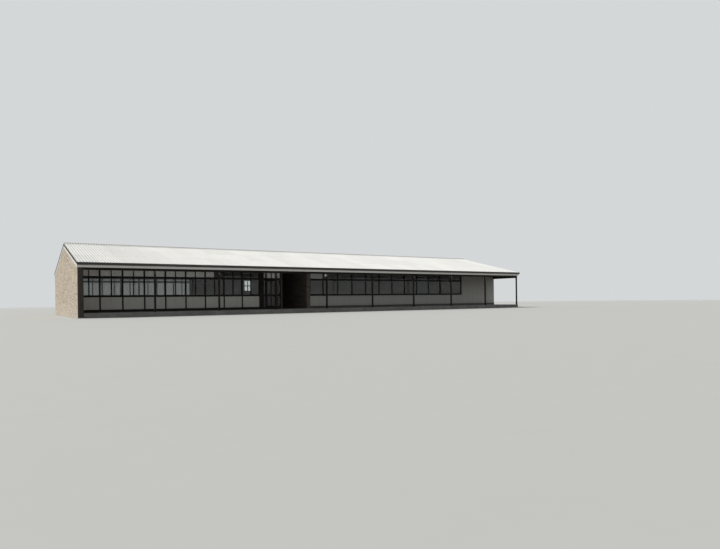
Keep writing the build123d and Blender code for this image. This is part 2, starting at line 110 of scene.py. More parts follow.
# %% Bench
class Bench:
    """Gathers closed solids, each with its own tone and grain, and makes one piece of them."""

    def __init__(self):
        self.clear()

    def clear(self):
        self.points, self.faces, self.tones, self.grains = [], [], [], []

    def loft(self, rings, along=2, tone=None, strips=False):
        """Skin over rings with the same number of corners, closed at both ends."""
        tone = chance.random() if tone is None else tone
        figure = [chance.uniform(0, 40) for _ in range(3)]
        first, size, count = len(self.points), len(rings[0]), len(self.faces)
        for ring in rings:
            for point in ring:
                self.points.append(point)
                self.grains.append([point[(along + k) % 3] + figure[k] for k in range(3)])
        for row in range(len(rings) - 1):
            for k in range(size):
                a = first + row * size + k
                b = first + row * size + (k + 1) % size
                self.faces.append((a, b, b + size, a + size))
        for start, turn in ((first, -1), (len(self.points) - size, 1)):
            if strips:
                for k in range(size // 2 - 1):
                    a, b = start + k, start + size - 1 - k
                    self.faces.append((a, a + 1, b - 1, b)[::turn])
            else:
                self.faces.append(tuple(range(start, start + size))[::turn])
        self.tones.extend([tone] * (len(self.faces) - count))

    def bar(self, corner, opposite, along, ease=0.003):
        """Straight member between two opposite corners, with its long edges eased."""
        low, high = list(map(min, corner, opposite)), list(map(max, corner, opposite))
        u, v = (along + 1) % 3, (along + 2) % 3
        rings = []
        for end in (low[along], high[along]):
            ring = []
            for a, b in eased(low[u], high[u], low[v], high[v], ease):
                point = [0.0, 0.0, 0.0]
                point[along], point[u], point[v] = end, a, b
                ring.append(point)
            rings.append(ring)
        self.loft(rings, along)

    def piece(self, name, finish, slot, *replaces, body="building", smooth=None):
        """Makes one piece of all that lies on the bench, and clears it."""
        mesh = bpy.data.meshes.new(name)
        mesh.from_pydata(self.points, [], self.faces)
        tones = mesh.attributes.new("tone", "FLOAT", "FACE")
        tones.data.foreach_set("value", self.tones)
        grains = mesh.attributes.new("grain", "FLOAT_VECTOR", "POINT")
        grains.data.foreach_set("vector", [value for grain in self.grains for value in grain])
        shape = bmesh.new()
        shape.from_mesh(mesh)
        bmesh.ops.recalc_face_normals(shape, faces=shape.faces)
        shape.to_mesh(mesh)
        shape.free()
        if smooth:
            mesh.shade_smooth()
            mesh.set_sharp_from_angle(angle=math.radians(smooth))
        mesh.materials.append(finish.material)
        made = bpy.data.objects.new(name, mesh)
        scene.collection.objects.link(made)
        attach(made, body)
        if replaces:
            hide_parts(*replaces)
        print(f"{name}: {sum(len(face) - 2 for face in self.faces)} triangles")
        self.clear()


def eased(u0, u1, v0, v1, ease):
    """Corners of a rectangle with its four corners cut by the same small amount."""
    u2, u3, v2, v3 = u0 + ease, u1 - ease, v0 + ease, v1 - ease
    return [(u2, v0), (u3, v0), (u1, v2), (u1, v3), (u3, v1), (u2, v1), (u0, v3), (u0, v2)]


bench = Bench()
print("bench ready")

# %% [markdown]
# ## A palette for finishes
# Real surfaces are never one colour. Each finish here starts from Blender's Principled shader
# and adds what a painter would: grain or speckle, a change from one board to the next, dirt, and
# a bump for the roughness under the hand. The small classes below keep the node work short, so
# a finish reads as a recipe. The first also serves the sky, which has nodes but no shader.


# %% Palette
class Nodes:
    """A tree of shader nodes, with short words for making and joining them."""

    def __init__(self, tree):
        self.tree = tree

    def feed(self, socket, value):
        """Links a node's output to a socket, or sets the socket's own number or colour."""
        if isinstance(value, bpy.types.NodeSocket):
            self.tree.links.new(value, socket)
        elif socket.type == "RGBA":
            socket.default_value = (*value, 1)
        else:
            socket.default_value = value

    def add(self, kind, inputs=(), **settings):
        node = self.tree.nodes.new("ShaderNode" + kind)
        for word, value in settings.items():
            setattr(node, word, value)
        for key, value in dict(inputs).items():
            self.feed(node.inputs[key], value)
        return node

    def work(self, operation, first, second=0):
        return self.add("Math", {0: first, 1: second}, operation=operation).outputs[0]

    def sum(self, first, second):
        return self.work("ADD", first, second)

    def times(self, first, second):
        return self.work("MULTIPLY", first, second)

    def blend(self, factor, first, second, way="MIX"):
        words = {0: factor, 6: first, 7: second}
        return self.add("Mix", words, data_type="RGBA", blend_type=way).outputs[2]


class Finish(Nodes):
    """A Principled material, with short words for the patterns that feed it."""

    def __init__(self, name, roughness=0.7, metallic=0.0):
        self.material = bpy.data.materials.new(name)
        self.material.use_nodes = True
        super().__init__(self.material.node_tree)
        self.shader = self.tree.nodes["Principled BSDF"]
        self.put("Roughness", roughness)
        self.put("Metallic", metallic)

    def put(self, socket, value):
        self.feed(self.shader.inputs[socket], value)

    def place(self, stretch=(1, 1, 1)):
        """Position on the building, stretched along each axis."""
        where = self.add("TexCoord").outputs["Object"]
        return self.add("Mapping", {"Vector": where, "Scale": stretch}).outputs[0]

    def grain(self, stretch):
        """Position in the member, along its grain first."""
        where = self.add("Attribute", attribute_name="grain").outputs["Vector"]
        return self.add("Mapping", {"Vector": where, "Scale": stretch}).outputs[0]

    def tone(self):
        return self.add("Attribute", attribute_name="tone").outputs["Fac"]

    def axis(self, letter):
        """Place on one axis in metres: X runs along the building, Z up from the ground."""
        where = self.add("TexCoord").outputs["Object"]
        return self.add("SeparateXYZ", {0: where}).outputs[letter]

    def noise(self, scale, detail, stretch=(1, 1, 1), rough=0.55, where=None):
        spot = (where or self.place)(stretch)
        words = {"Vector": spot, "Scale": scale, "Detail": detail, "Roughness": rough}
        return self.add("TexNoise", words).outputs["Fac"]

    def ramp(self, value, *stops):
        node = self.add("ValToRGB", {"Fac": value})
        band = node.color_ramp
        while len(band.elements) < len(stops):
            band.elements.new(0.5)
        for element, (position, colour) in zip(band.elements, stops):
            element.position = position
            element.color = (*colour, 1)
        return node.outputs["Color"]

    def span(self, value, low, high, to_low, to_high):
        words = {0: value, 1: low, 2: high, 3: to_low, 4: to_high}
        return self.add("MapRange", words).outputs[0]

    def wash(self, under, over, value, low, high, at_low, at_high):
        """Lays a second colour over the first: its share goes from at_low to at_high."""
        return self.blend(self.span(value, low, high, at_low, at_high), under, over)

    def colour(self, value):
        self.put("Base Color", value)

    def rough(self, value):
        self.put("Roughness", value)

    def emboss(self, height, depth, strength):
        words = {"Height": height, "Distance": depth, "Strength": strength}
        self.put("Normal", self.add("Bump", words).outputs["Normal"])


print("palette ready")

# %% [markdown]
# ## Stage, light and camera
# The block stands on a plain pale floor that fades into a pale backdrop. The light copies a
# high sun from behind the brick end, so the roof and that gable are bright and the window side
# lies in open shade. The floor looks pale to the camera but throws only as much light back as
# dull ground would: Light Path tells the two kinds of ray apart.

# %% Floor and backdrop
BACKDROP = (0.66, 0.68, 0.69)
SKY_LIGHT = (0.43, 0.445, 0.46)
FLOOR_TONES = ((0.50, 0.50, 0.48), (0.52, 0.52, 0.50))
FLOOR_BOUNCE = (0.36, 0.355, 0.335)
FLOOR_RADIUS = 130
FADE = (62, 120)  # where the floor starts to fade, and where it is gone


def seen_directly(nodes):
    """1 for rays from the camera, from gloss and through glass, 0 for other light."""
    path = nodes.add("LightPath").outputs
    words = {0: nodes.sum(path["Is Camera Ray"], path["Is Glossy Ray"])}
    words[1] = path["Is Transmission Ray"]
    return nodes.add("Math", words, use_clamp=True).outputs[0]


pale_floor = Finish("pale_floor", 0.9)
shade = pale_floor.blend(pale_floor.noise(3, 6), *FLOOR_TONES)
pale_floor.colour(pale_floor.blend(seen_directly(pale_floor), FLOOR_BOUNCE, shade))
distance = pale_floor.add("VectorMath", {0: pale_floor.place()}, operation="LENGTH")
away = pale_floor.span(distance.outputs["Value"], *FADE, 0, 1)
clear = pale_floor.add("BsdfTransparent").outputs[0]
mixed = pale_floor.add("MixShader", {0: away, 1: pale_floor.shader.outputs[0], 2: clear})
pale_floor.feed(pale_floor.tree.nodes["Material Output"].inputs["Surface"], mixed.outputs[0])

shape = bmesh.new()
bmesh.ops.create_circle(shape, cap_ends=True, segments=96, radius=FLOOR_RADIUS)
mesh = bpy.data.meshes.new("studio_floor")
shape.to_mesh(mesh)
shape.free()
mesh.materials.append(pale_floor.material)
studio_floor = bpy.data.objects.new("studio_floor", mesh)
studio_floor.location.z = -0.004
scene.collection.objects.link(studio_floor)

world = scene.world = scene.world or bpy.data.worlds.new("studio")
world.use_nodes = True
sky = Nodes(world.node_tree)
background = world.node_tree.nodes["Background"].inputs
sky.feed(background["Color"], sky.blend(seen_directly(sky), SKY_LIGHT, BACKDROP))
background["Strength"].default_value = 1.0
print("floor radius", FLOOR_RADIUS, "m, backdrop", BACKDROP)

# %% [markdown]
# The sun is a lamp with a wide disc, which softens its shadows as a studio lamp's silk would.
# The camera stands far off to the left of the brick end, at waist height, level, and turned
# towards the middle of the block. The shift places the horizon a little below the middle of
# the picture, as a camera with a rising front does. A new camera looks straight down, so one
# rotation tips it up to the horizon, between the turn to the right and a slight roll.

# %% Sun and camera
lamp = bpy.data.lights.new("high_sun", "SUN")
lamp.energy = 2.5
lamp.angle = math.radians(5)
lamp.color = (1.0, 0.985, 0.95)
high_sun = bpy.data.objects.new("high_sun", lamp)
towards_sun = Vector((-0.56, 0.24, 0.80))
high_sun.rotation_euler = towards_sun.to_track_quat("Z", "Y").to_euler()
scene.collection.objects.link(high_sun)

view = bpy.data.cameras.new("camera")
view.sensor_width = 36
view.lens = 27.55
view.shift_x = 0.02847
view.shift_y = 0.03542
view.clip_end = 500
camera = bpy.data.objects.new("camera", view)
stand = Vector((-20.123, -37.226, 0.782))
turn, tip, roll = (-0.557, "Z"), (math.pi / 2, "X"), (-0.012, "Z")  # tip makes it level
placed = Matrix.Translation(stand)
for angle, axis in (turn, tip, roll):
    placed @= Matrix.Rotation(angle, 4, axis)
camera.matrix_world = placed
scene.collection.objects.link(camera)
scene.camera = camera
scene.view_settings.view_transform = "Standard"
print("camera at", [round(v, 2) for v in stand])

# %% [markdown]
# ## The roof sheets
# The roof is large corrugated fibre-cement sheet at 146 mm pitch. Each sheet covers seven waves
# and laps half a wave over its neighbour, and three courses run from ridge to eave, each lying
# on the one below. An array modifier could repeat one sheet, but then all would match: real
# sheets weather one by one and sit on each other at the laps. So each is lofted
# from its own wavy section, tilted by its own thickness, and given a tone.

# %% Roof sheets
wave = 0.146
wave_height = 0.0438
sheet_thickness = 0.0052
sheet_cover = 7 * wave
sheet_width = sheet_cover + wave / 2
sheet_seat = 0.0002
lap_lift = 0.006
end_lap = 0.15
ridge_gap = 0.03
course_count = 3
roof_west, roof_east = west - verge, east + verge


def wave_at(x):
    """Height of the corrugation's crest line at x, from 0 in a trough."""
    return wave_height * (1 + math.cos(math.tau * (x - roof_west) / wave)) / 2


def sheet_courses():
    """Upper and lower ends of each course, measured level from the ridge."""
    run = (sheet_end - ridge_gap + (course_count - 1) * end_lap) / course_count
    starts = [ridge_gap + k * (run - end_lap) for k in range(course_count)]
    return [(start, start + run) for start in starts]


def roof_sheets(side, name, node):
    for start, end in sheet_courses():
        x0 = roof_west
        while x0 < roof_east - 0.02:
            x1 = min(x0 + sheet_width, roof_east)
            steps = max(2, round((x1 - x0) / (wave / 8)))
            rings = []
            for q, lift in ((start, 0), (end, lap_lift)):
                low = []
                for k in range(steps + 1):
                    x = x0 + (x1 - x0) * k / steps
                    tilt = lap_lift * (x - x0) / sheet_width
                    low.append((x, side * q, roof_under(q) + lift + tilt + wave_at(x) + sheet_seat))
                rings.append(low + [(x, y, z + sheet_thickness) for x, y, z in reversed(low)])
            bench.loft(rings, 1, strips=True)
            x0 += sheet_cover
    bench.piece(name, cement, "fibre_cement_sheet", node, smooth=40)


print("courses from the ridge:", [[round(q, 3) for q in course] for course in sheet_courses()])

# %% [markdown]
# The sheet is pale grey cement, almost white in the sun. Rain draws grey streaks down the
# slope, dirt gathers in the troughs, and a few spots of lichen start in the roughest places.
# The streaks are noise stretched along Y, which is down the slope, and the dirt follows the
# cosine of the corrugations.

# %% Weathered cement sheet
cement = Finish("weathered_cement_sheet")
streaks = cement.noise(1.6, 6, (6, 0.35, 0.35), 0.6)
cloud = cement.noise(1.2, 3, (0.5, 0.5, 0.5))
pores = cement.noise(160, 3)
lichen = cement.noise(11, 8, rough=0.65)
colour = cement.ramp(streaks, (0.30, (0.745, 0.735, 0.71)), (0.62, (0.80, 0.795, 0.77)))
colour = cement.wash(colour, (0.75, 0.74, 0.715), cloud, 0.3, 0.7, 0, 0.3)
from_edge = cement.work("SUBTRACT", cement.axis("X"), roof_west)
swell = cement.work("COSINE", cement.times(from_edge, math.tau / wave))
colour = cement.wash(colour, (0.34, 0.335, 0.31), swell, -1, 0.3, 0.5, 0)
tone = cement.span(cement.tone(), 0, 1, 0.94, 1.03)
weather = cement.add("CombineXYZ", {0: tone, 1: tone, 2: tone}).outputs[0]
colour = cement.blend(1.0, colour, weather, "MULTIPLY")
cement.colour(cement.wash(colour, (0.42, 0.43, 0.38), lichen, 0.66, 0.74, 0, 0.55))
cement.rough(cement.span(streaks, 0.3, 0.7, 0.95, 0.78))
cement.emboss(cement.sum(pores, cement.times(lichen, 0.5)), 0.0012, 0.5)

roof_sheets(-1, "front_roof_sheets", "front_roof_slope")
roof_sheets(1, "rear_roof_sheets", "rear_roof_slope")

# %% [markdown]
# ## Ridge capping and roof bolts
# A ridge piece has a round roll and two aprons that take up the waves of the sheets below, so
# rain can't drive in. Each length has a collar that slips over the next. Rolls and aprons are
# lofted separately and overlap under the roll, as the shape of the real casting does.

# %% Ridge capping
roll_centre = ridge_height - pitch_slope * 0.062 + 0.008
roll_radius, collar_radius, cap_radius = 0.055, 0.0615, 0.05
roll_thickness, apron_thickness = 0.006, 0.005
apron_clear = 0.0125
apron_lines = ((0.0, 0.052), (0.55, 0.13), (1.0, 0.229))  # share of the wave, and place


def roll_arc(x, radius):
    """Points round the top of the roll, a little past half a turn."""
    turns = [math.radians(-18 + 216 * k / 14) for k in range(15)]
    return [(x, radius * math.cos(a), roll_centre + radius * math.sin(a)) for a in turns]


def roll_ring(x, radius):
    return roll_arc(x, radius) + roll_arc(x, radius - roll_thickness)[::-1]


def apron_rings(x0, x1, side):
    steps = round((x1 - x0) / (wave / 6))
    rings = []
    for share, q in apron_lines:
        low = []
        for k in range(steps + 1):
            x = x0 + (x1 - x0) * k / steps
            rise = wave_height * (1 - share) + wave_at(x) * share
            low.append((x, side * q, roof_under(q) + apron_clear + rise))
        rings.append(low + [(x, y, z + apron_thickness) for x, y, z in reversed(low)])
    return rings


for k, (x0, x1) in enumerate(lengths(roof_west, roof_east, 2 * bay_count)):
    tone = chance.random()
    bench.loft([roll_ring(x0, roll_radius), roll_ring(x1, roll_radius)], 0, tone, True)
    for side in (-1, 1):
        bench.loft(apron_rings(x0 + 0.001, x1 - 0.001, side), 1, tone, True)
    if k:
        collar = [roll_ring(x, collar_radius) for x in (x0 - 0.035, x0 + 0.04)]
        bench.loft(collar, 0, tone, True)
for x0 in (roof_west, roof_east - 0.008):
    bench.loft([roll_arc(x, cap_radius) for x in (x0, x0 + 0.008)], 0)
bench.piece("ridge_lengths", cement, "fibre_cement_sheet", "ridge_capping", smooth=40)

# %% [markdown]
# The sheets are held by bolts through the crests, each with a dished washer. They sit in
# straight rows over the purlins, and from a distance those rows are the only sign of the
# timber below. Their zinc, like other plain coatings further on, is a mix of two shades by
# one noise, which also changes the gloss and lifts the bump.


# %% Roof bolts
def mottled(name, scale, detail, shades, gloss, bump, stretch=(1, 1, 1), metallic=0.0):
    """Two shades mixed by one noise. Gloss gives the roughness of the first and the second."""
    finish = Finish(name, metallic=metallic)
    patches = finish.noise(scale, detail, stretch)
    finish.colour(finish.ramp(patches, *shades))
    finish.rough(finish.span(patches, 0.3, 0.7, *gloss))
    finish.emboss(patches, *bump)
    return finish


def circle(sides, radius):
    """Corners of a regular outline around zero."""
    turns = [math.tau * k / sides for k in range(sides)]
    return [(radius * math.cos(a), radius * math.sin(a)) for a in turns]


zinc_shades = ((0.35, (0.30, 0.29, 0.28)), (0.65, (0.50, 0.50, 0.49)))
zinc = mottled("weathered_zinc", 60, 5, zinc_shades, (0.65, 0.4), (0.0004, 0.5), metallic=0.75)
purlin_lines = [0.3, 1.25, 2.16, 3.3, 4.3, 5.35, 6.27]
washer = ((8, 0.017, 0.0), (8, 0.014, 0.005))  # sides, radius and height of each ring
bolt_head = ((6, 0.0085, 0.005), (6, 0.0085, 0.013))
washer_clear = 0.0105

for side in (-1, 1):
    for q in purlin_lines:
        seat, slope = roof_under(q) + wave_height + washer_clear, side * pitch_slope
        crest = 2
        while roof_west + crest * wave < roof_east - 0.05:
            x = roof_west + crest * wave
            for outlines in (washer, bolt_head):
                rings = []
                for sides, radius, rise in outlines:
                    y, z, corners = side * q, seat + rise, circle(sides, radius)
                    rings.append([(x + a, y + b, z - slope * b) for a, b in corners])
                bench.loft(rings)
            crest += 3 if crest % 7 == 2 else 4  # the second and fifth crest of each sheet
bench.piece("roof_bolts", zinc, "ironmongery")

# %% [markdown]
# ## Brickwork
# The gables and the wall beside the porch are fair-faced brick in stretcher bond: 230 by
# 76 mm bricks, 10 mm joints, two leaves with a cavity between them. A brick texture would look
# flat from close by and would run on past the corners. Here each brick is a solid with eased
# edges, cut to the rake of the roof where it meets it, and the mortar is one recessed core.

# %% Bricks and mortar
brick_length, brick_width, brick_height, joint = 0.23, 0.11, 0.076, 0.01
arris = 0.0035
recess = 0.004
sliver = 0.02  # no course and no row of bricks starts in less than this


class BrickWall:
    """A wall on its own axes: u along it, z up and d into it from its face."""

    def __init__(self, place, bottom, top, rake_top):
        self.place, self.bottom, self.top, self.rake_top = place, bottom, top, rake_top
        self.bricks, self.mortar = Bench(), Bench()

    def under_roof(self, corners):
        """Cuts an outline of corners (u, z) by the two slopes of the roof."""
        for lean in (-1, 1):
            kept = []
            for k, (u, z) in enumerate(corners):
                v, w = corners[(k + 1) % len(corners)]
                over = z - (self.rake_top - lean * pitch_slope * u)
                next_over = w - (self.rake_top - lean * pitch_slope * v)
                if over <= 0:
                    kept.append((u, z))
                if (over < 0 < next_over) or (next_over < 0 < over):
                    share = over / (over - next_over)
                    kept.append((u + share * (v - u), z + share * (w - z)))
            corners = kept
        return corners

    def courses(self):
        """Number, bottom and head of each course."""
        number, z = 0, self.bottom + joint
        while z < self.top - sliver:
            yield number, z, min(z + brick_height, self.top)
            number += 1
            z += brick_height + joint

    def brick(self, u0, u1, z0, z1, d0, d1, plain=False):
        """One brick between the depths d0, its face, and d1."""
        corners = self.under_roof([(u0, z0), (u1, z0), (u1, z1), (u0, z1)])
        if len(corners) < 3 or max(z for u, z in corners) - z0 < 0.012:
            return
        mid_u = sum(u for u, z in corners) / len(corners)
        mid_z = sum(z for u, z in corners) / len(corners)
        inner = [
            (u + (arris if u < mid_u else -arris), z + (arris if z < mid_z else -arris))
            for u, z in corners
        ]
        eased_by = arris if d1 > d0 else -arris
        rings = [(inner, d0), (corners, d0 + eased_by), (corners, d1)]
        if plain:
            rings = [(corners, d0), (corners, d1)]
        self.bricks.loft([[self.place(u, z, d) for u, z in ring] for ring, d in rings])

    def leaf(self, u0, u1, face, back, shift, plain=False):
        """One leaf of stretchers. shift is the first course's offset."""
        for number, z0, z1 in self.courses():
            offset = shift + (number % 2) * (brick_length + joint) / 2
            u = u0 - offset % (brick_length + joint)
            while u < u1 - sliver:
                start, end = max(u, u0), min(u + brick_length, u1)
                if end - start > 0.025:
                    self.brick(start, end, z0, z1, face, back, plain)
                u += brick_length + joint

    def quoin(self, u, turn):
        """Toothed end of the wall, seen on its end face. turn is +1 where the wall runs to +u."""
        for number, z0, z1 in self.courses():
            # the corner brick lies along the face in odd courses, into the wall in even ones
            face, end = brick_length, brick_width
            if number % 2 == 0:
                face, end = end, face
            for reach, d0, d1 in ((face, 0, end), (brick_width, end + joint, gable_thickness)):
                self.brick(*sorted((u, u + turn * reach)), z0, z1, d0, d1)

    def closers(self, u0):
        """Half bricks that fill every second course behind a toothed end."""
        for number, z0, z1 in self.courses():
            if number % 2 == 0:
                self.brick(u0, u0 + brick_width, z0, z1, 0, brick_width)

    def core(self, *stations):
        """Mortar behind the faces, with a corner at each station below and above."""
        foot = [(u, self.bottom) for u in stations]
        corners = self.under_roof(foot + [(u, self.top) for u in reversed(stations)])
        depths = (recess, gable_thickness - recess)
        self.mortar.loft([[self.place(u, z, d) for u, z in corners] for d in depths])

    def build(self, name, finish, node):
        self.bricks.piece(name + "_bricks", finish, "brick", node)
        self.mortar.piece(name + "_mortar", mortar_finish, "brick", node)


print("brick", brick_length, "x", brick_height, "m, joint", joint, "m")

# %% [markdown]
# Bricks from one kiln differ. The tone of each one picks a colour from a short range: fawns and
# buffs for the gables, dark browns for the porch. A few are burnt darker, sand grains speckle
# them all, and a pale bloom shows near the ground. The mortar is grey sand and cement, with
# darker damp patches.


# %% Brick and mortar finishes
def fired_brick(name, shades, sand_spots, bloom):
    """Rough brick. Its shades run from the darkest brick to the palest one."""
    finish = Finish(name)
    stops = [(k / (len(shades) - 1), shade) for k, shade in enumerate(shades)]
    sand, patches = finish.noise(240, 3), finish.noise(14, 5)
    colour = finish.ramp(finish.tone(), *stops)
    colour = finish.wash(colour, sand_spots, sand, 0.55, 0.68, 0, 0.55)
    colour = finish.wash(colour, bloom, patches, 0.45, 0.7, 0, 0.35)
    finish.colour(finish.wash(colour, bloom, finish.axis("Z"), 0.1, 0.9, 0.28, 0))
    finish.rough(finish.span(patches, 0.3, 0.7, 0.95, 0.8))
    finish.emboss(finish.sum(sand, patches), 0.002, 0.6)
    return finish


fawns = [
    (0.38, 0.29, 0.21),
    (0.54, 0.43, 0.325),
    (0.62, 0.515, 0.39),
    (0.68, 0.58, 0.455),
    (0.77, 0.68, 0.56),
]
browns = [
    (0.060, 0.047, 0.038),
    (0.090, 0.070, 0.055),
    (0.120, 0.094, 0.074),
    (0.155, 0.123, 0.098),
]
fawn_brick = fired_brick("fawn_brick", fawns, (0.22, 0.17, 0.12), (0.79, 0.72, 0.62))
brown_brick = fired_brick("brown_brick", browns, (0.045, 0.035, 0.027), (0.150, 0.128, 0.105))

mortar_finish = Finish("sand_mortar", 0.95)
grit = mortar_finish.noise(300, 4)
damp = mortar_finish.noise(2.5, 4, (1, 1, 2))
colour = mortar_finish.ramp(grit, (0.3, (0.36, 0.34, 0.30)), (0.7, (0.56, 0.54, 0.49)))
mortar_finish.colour(mortar_finish.wash(colour, (0.30, 0.28, 0.24), damp, 0.4, 0.75, 0, 0.4))
mortar_finish.emboss(grit, 0.0015, 0.7)
print("brick shades:", len(fawns), "fawn and", len(browns), "brown")

# %% [markdown]
# The west gable closes both verandas and shows its front end, so it is laid with toothed
# quoins at both ends. The east gable is only as wide as the rooms. The wall beside the porch
# carries up to the lining and shows its end on the entrance front.

# %% Gables and porch wall
wall_thickness = 0.23
inner_leaf = (gable_thickness, gable_thickness - brick_width)
outer_leaf = (0, brick_width)
behind_quoin = brick_width + joint
past_quoin = brick_length + joint
gable_top = 4.5  # above the ridge, so that the rake cuts every course
rake_top = roof_under(0)
set_in = 0.005  # the mortar stops short of the toothed ends

south, north = -6.311, 6.196
west_gable = BrickWall(lambda u, z, d: (west + d, u, z), 0.0, gable_top, rake_top)
west_gable.quoin(south, 1)
west_gable.quoin(north, -1)
west_gable.leaf(south + past_quoin, north - past_quoin, *outer_leaf, behind_quoin)
west_gable.closers(south + behind_quoin)
west_gable.closers(north - behind_quoin - brick_width)
west_gable.leaf(south + behind_quoin, north - behind_quoin, *inner_leaf, 0.0)
west_gable.core(south + set_in, 0.0, north - set_in)
west_gable.build("west_gable", fawn_brick, "west_gable_wall")

half = wall_face - wall_thickness
east_gable = BrickWall(lambda u, z, d: (east - d, u, z), floor, gable_top, rake_top)
east_gable.leaf(-half, half, *outer_leaf, 0.06)
east_gable.leaf(-half, half, *inner_leaf, 0.0, plain=True)
east_gable.core(-half, 0.0, half)
east_gable.build("east_gable", fawn_brick, "east_gable_wall")

porch_west = grid_zero + 12.615
porch_east = porch_west + 1.87
windows_west = porch_east + gable_thickness
porch_back = 0.0
clear_of_roof = 9.0  # the rake doesn't reach this wall
porch_wall = BrickWall(lambda u, z, d: (porch_east + d, u, z), floor, wall_top, clear_of_roof)
porch_wall.quoin(-wall_face, 1)
porch_wall.closers(behind_quoin - wall_face)
porch_wall.leaf(past_quoin - wall_face, porch_back, *outer_leaf, behind_quoin)
porch_wall.leaf(behind_quoin - wall_face, porch_back, *inner_leaf, 0.0)
porch_wall.core(set_in - wall_face, porch_back)
porch_wall.build("porch", brown_brick, "porch_cross_wall")

# %% [markdown]
# ## Timber
# Frames, posts and beams are stained nearly black. Stain sinks in unevenly, so the grain
# still shows as fine lighter lines, and each length takes it a little differently. One recipe
# serves four timbers: the dark stain, the same stain worn grey, the varnished boards of the
# porch, and painted boards. The noise is stretched along the member, by the grain that the
# bench recorded.


# %% Timber finishes
def grained(name, deep, mid, light, roughness, gloss=0.5, from_bench=True):
    """Timber with its figure along each member, or along X on a plain solid."""
    finish = Finish(name)
    where = finish.grain if from_bench else finish.place
    figure = finish.noise(1.3, 6, (0.9, 24, 24), 0.6, where)
    pores = finish.noise(1.5, 3, (3, 190, 190), where=where)
    colour = finish.ramp(figure, (0.28, deep), (0.52, mid), (0.8, light))
    colour = finish.wash(colour, deep, pores, 0.45, 0.8, 0, 0.5)
    if from_bench:
        colour = finish.wash(colour, light, finish.tone(), 0, 1, 0, 0.45)
    finish.colour(colour)
    finish.put("Specular IOR Level", gloss)
    finish.rough(finish.span(figure, 0.3, 0.7, roughness + 0.12, roughness - 0.08))
    finish.emboss(finish.sum(figure, pores), 0.0012, 0.55)
    return finish


stain = ((0.007, 0.0055, 0.0045), (0.013, 0.010, 0.008), (0.024, 0.0185, 0.015), 0.6, 0.15)
worn_stain = ((0.028, 0.024, 0.020), (0.048, 0.041, 0.035), (0.080, 0.070, 0.060), 0.7, 0.2)
varnish = ((0.050, 0.040, 0.031), (0.082, 0.066, 0.052), (0.120, 0.098, 0.078), 0.6, 0.3)
paint = ((0.72, 0.71, 0.67), (0.83, 0.82, 0.78), (0.87, 0.86, 0.83), 0.52)
stained = grained("dark_stained_timber", *stain)
worn_stained = grained("worn_stained_timber", *worn_stain)
varnished = grained("varnished_porch_boards", *varnish)
painted = grained("off_white_painted_board", *paint)
print("timber finishes:", len((stained, worn_stained, varnished, painted)))

# %% [markdown]
# ## Window walls
# The rooms are walled with storey-high frames: mullions every 4 feet, a bottom rail, a sill, a
# transom and a head between them, and a glazing bar halfway across each light. A carpenter
# houses the rails between the mullions and holds the glass with beads from inside, and the
# pieces below are made and placed in the same order.

# %% Window frame members
frame_depth = 0.125
window_head = wall_top - 0.1
bottom_rail = floor + 0.15
sill_low, sill_high = floor + 0.855, floor + 0.965
transom_low, transom_high = floor + 1.94, floor + 2.055
spandrel_row, light_row = (bottom_rail, sill_low), (sill_high, transom_low)
top_light_row = (transom_high, window_head)
full_rails = [
    (floor, bottom_rail),
    (sill_low, sill_high),
    (transom_low, transom_high),
    (window_head, wall_top),
]
mullion, glazing_bar, screen_stile = 0.08, 0.045, 0.045
rail_set_back, half_pane, bead = 0.0015, 0.0065, 0.014
drip_low, drip_high = floor + 0.935, floor + 0.961  # the strip that throws rain off the sill
glass_back = 0.055  # from the face of the frame to the middle of the glass


def beads(x0, x1, y0, y1, z0, z1, size=bead, ease=0.003):
    """Four beads round one pane."""
    for a, b in ((z0, z0 + size), (z1 - size, z1)):
        bench.bar((x0, y0, a), (x1, y1, b), 0, ease)
    for a, b in ((x0, x0 + size), (x1 - size, x1)):
        bench.bar((a, y0, z0 + size), (b, y1, z1 - size), 2, ease)


def hung_pane(x0, x1, z0, z1, glass_y, inward):
    """Beads round one pane, on the room side of the glass."""
    near = glass_y + inward * half_pane
    beads(x0, x1, near, near + inward * bead, z0, z1)


def uprights(lines, width):
    """Both edges of each mullion: the end ones stand inside the end lines."""
    lefts = [lines[0], *(x - width / 2 for x in lines[1:-1]), lines[-1] - width]
    return [(x, x + width) for x in lefts]


def window_wall(posts, depth, rows, rails, face_y, inward, bar, glass_in):
    """Mullions, rails between them, and a glazing bar and beads for each light."""
    y0, y1 = sorted((face_y, face_y + inward * depth))
    for x0, x1 in posts:
        bench.bar((x0, y0, rails[0][0]), (x1, y1, rails[-1][1]), 2)
    for (_, a), (b, _) in zip(posts, posts[1:]):
        for z0, z1 in rails:
            bench.bar((a, y0 + rail_set_back, z0), (b, y1 - rail_set_back, z1), 0)
        for z0, z1 in rows:
            panes = [(a, b)]
            if bar:
                c, d = (a + b - bar) / 2, (a + b + bar) / 2
                bench.bar((c, y0 + 0.004, z0), (d, y1 - 0.03, z1), 2)
                panes = [(a, c), (d, b)]
            for x0, x1 in panes:
                hung_pane(x0, x1, z0, z1, face_y + inward * glass_in, inward)


def west_frame(count, inward, name, node):
    lines = [west_inside] + [grid_zero + k * module for k in range(1, count)]
    lines.append(grid_zero + count * module + mullion / 2)
    posts, rows, face = uprights(lines, mullion), (light_row, top_light_row), -inward * wall_face
    window_wall(posts, frame_depth, rows, full_rails, face, inward, glazing_bar, glass_back)
    y0, y1 = face - inward * 0.018, face + inward * 0.004
    bench.bar((lines[0], y0, drip_low), (lines[-1], y1, drip_high), 0, 0.006)
    bench.piece(name, stained, "dark_timber", node)


front_count, rear_count = 9, 7
west_frame(front_count, 1, "front_window_members_west", "front_frame_west")
west_frame(rear_count, -1, "rear_window_members_west", "rear_frame_west")

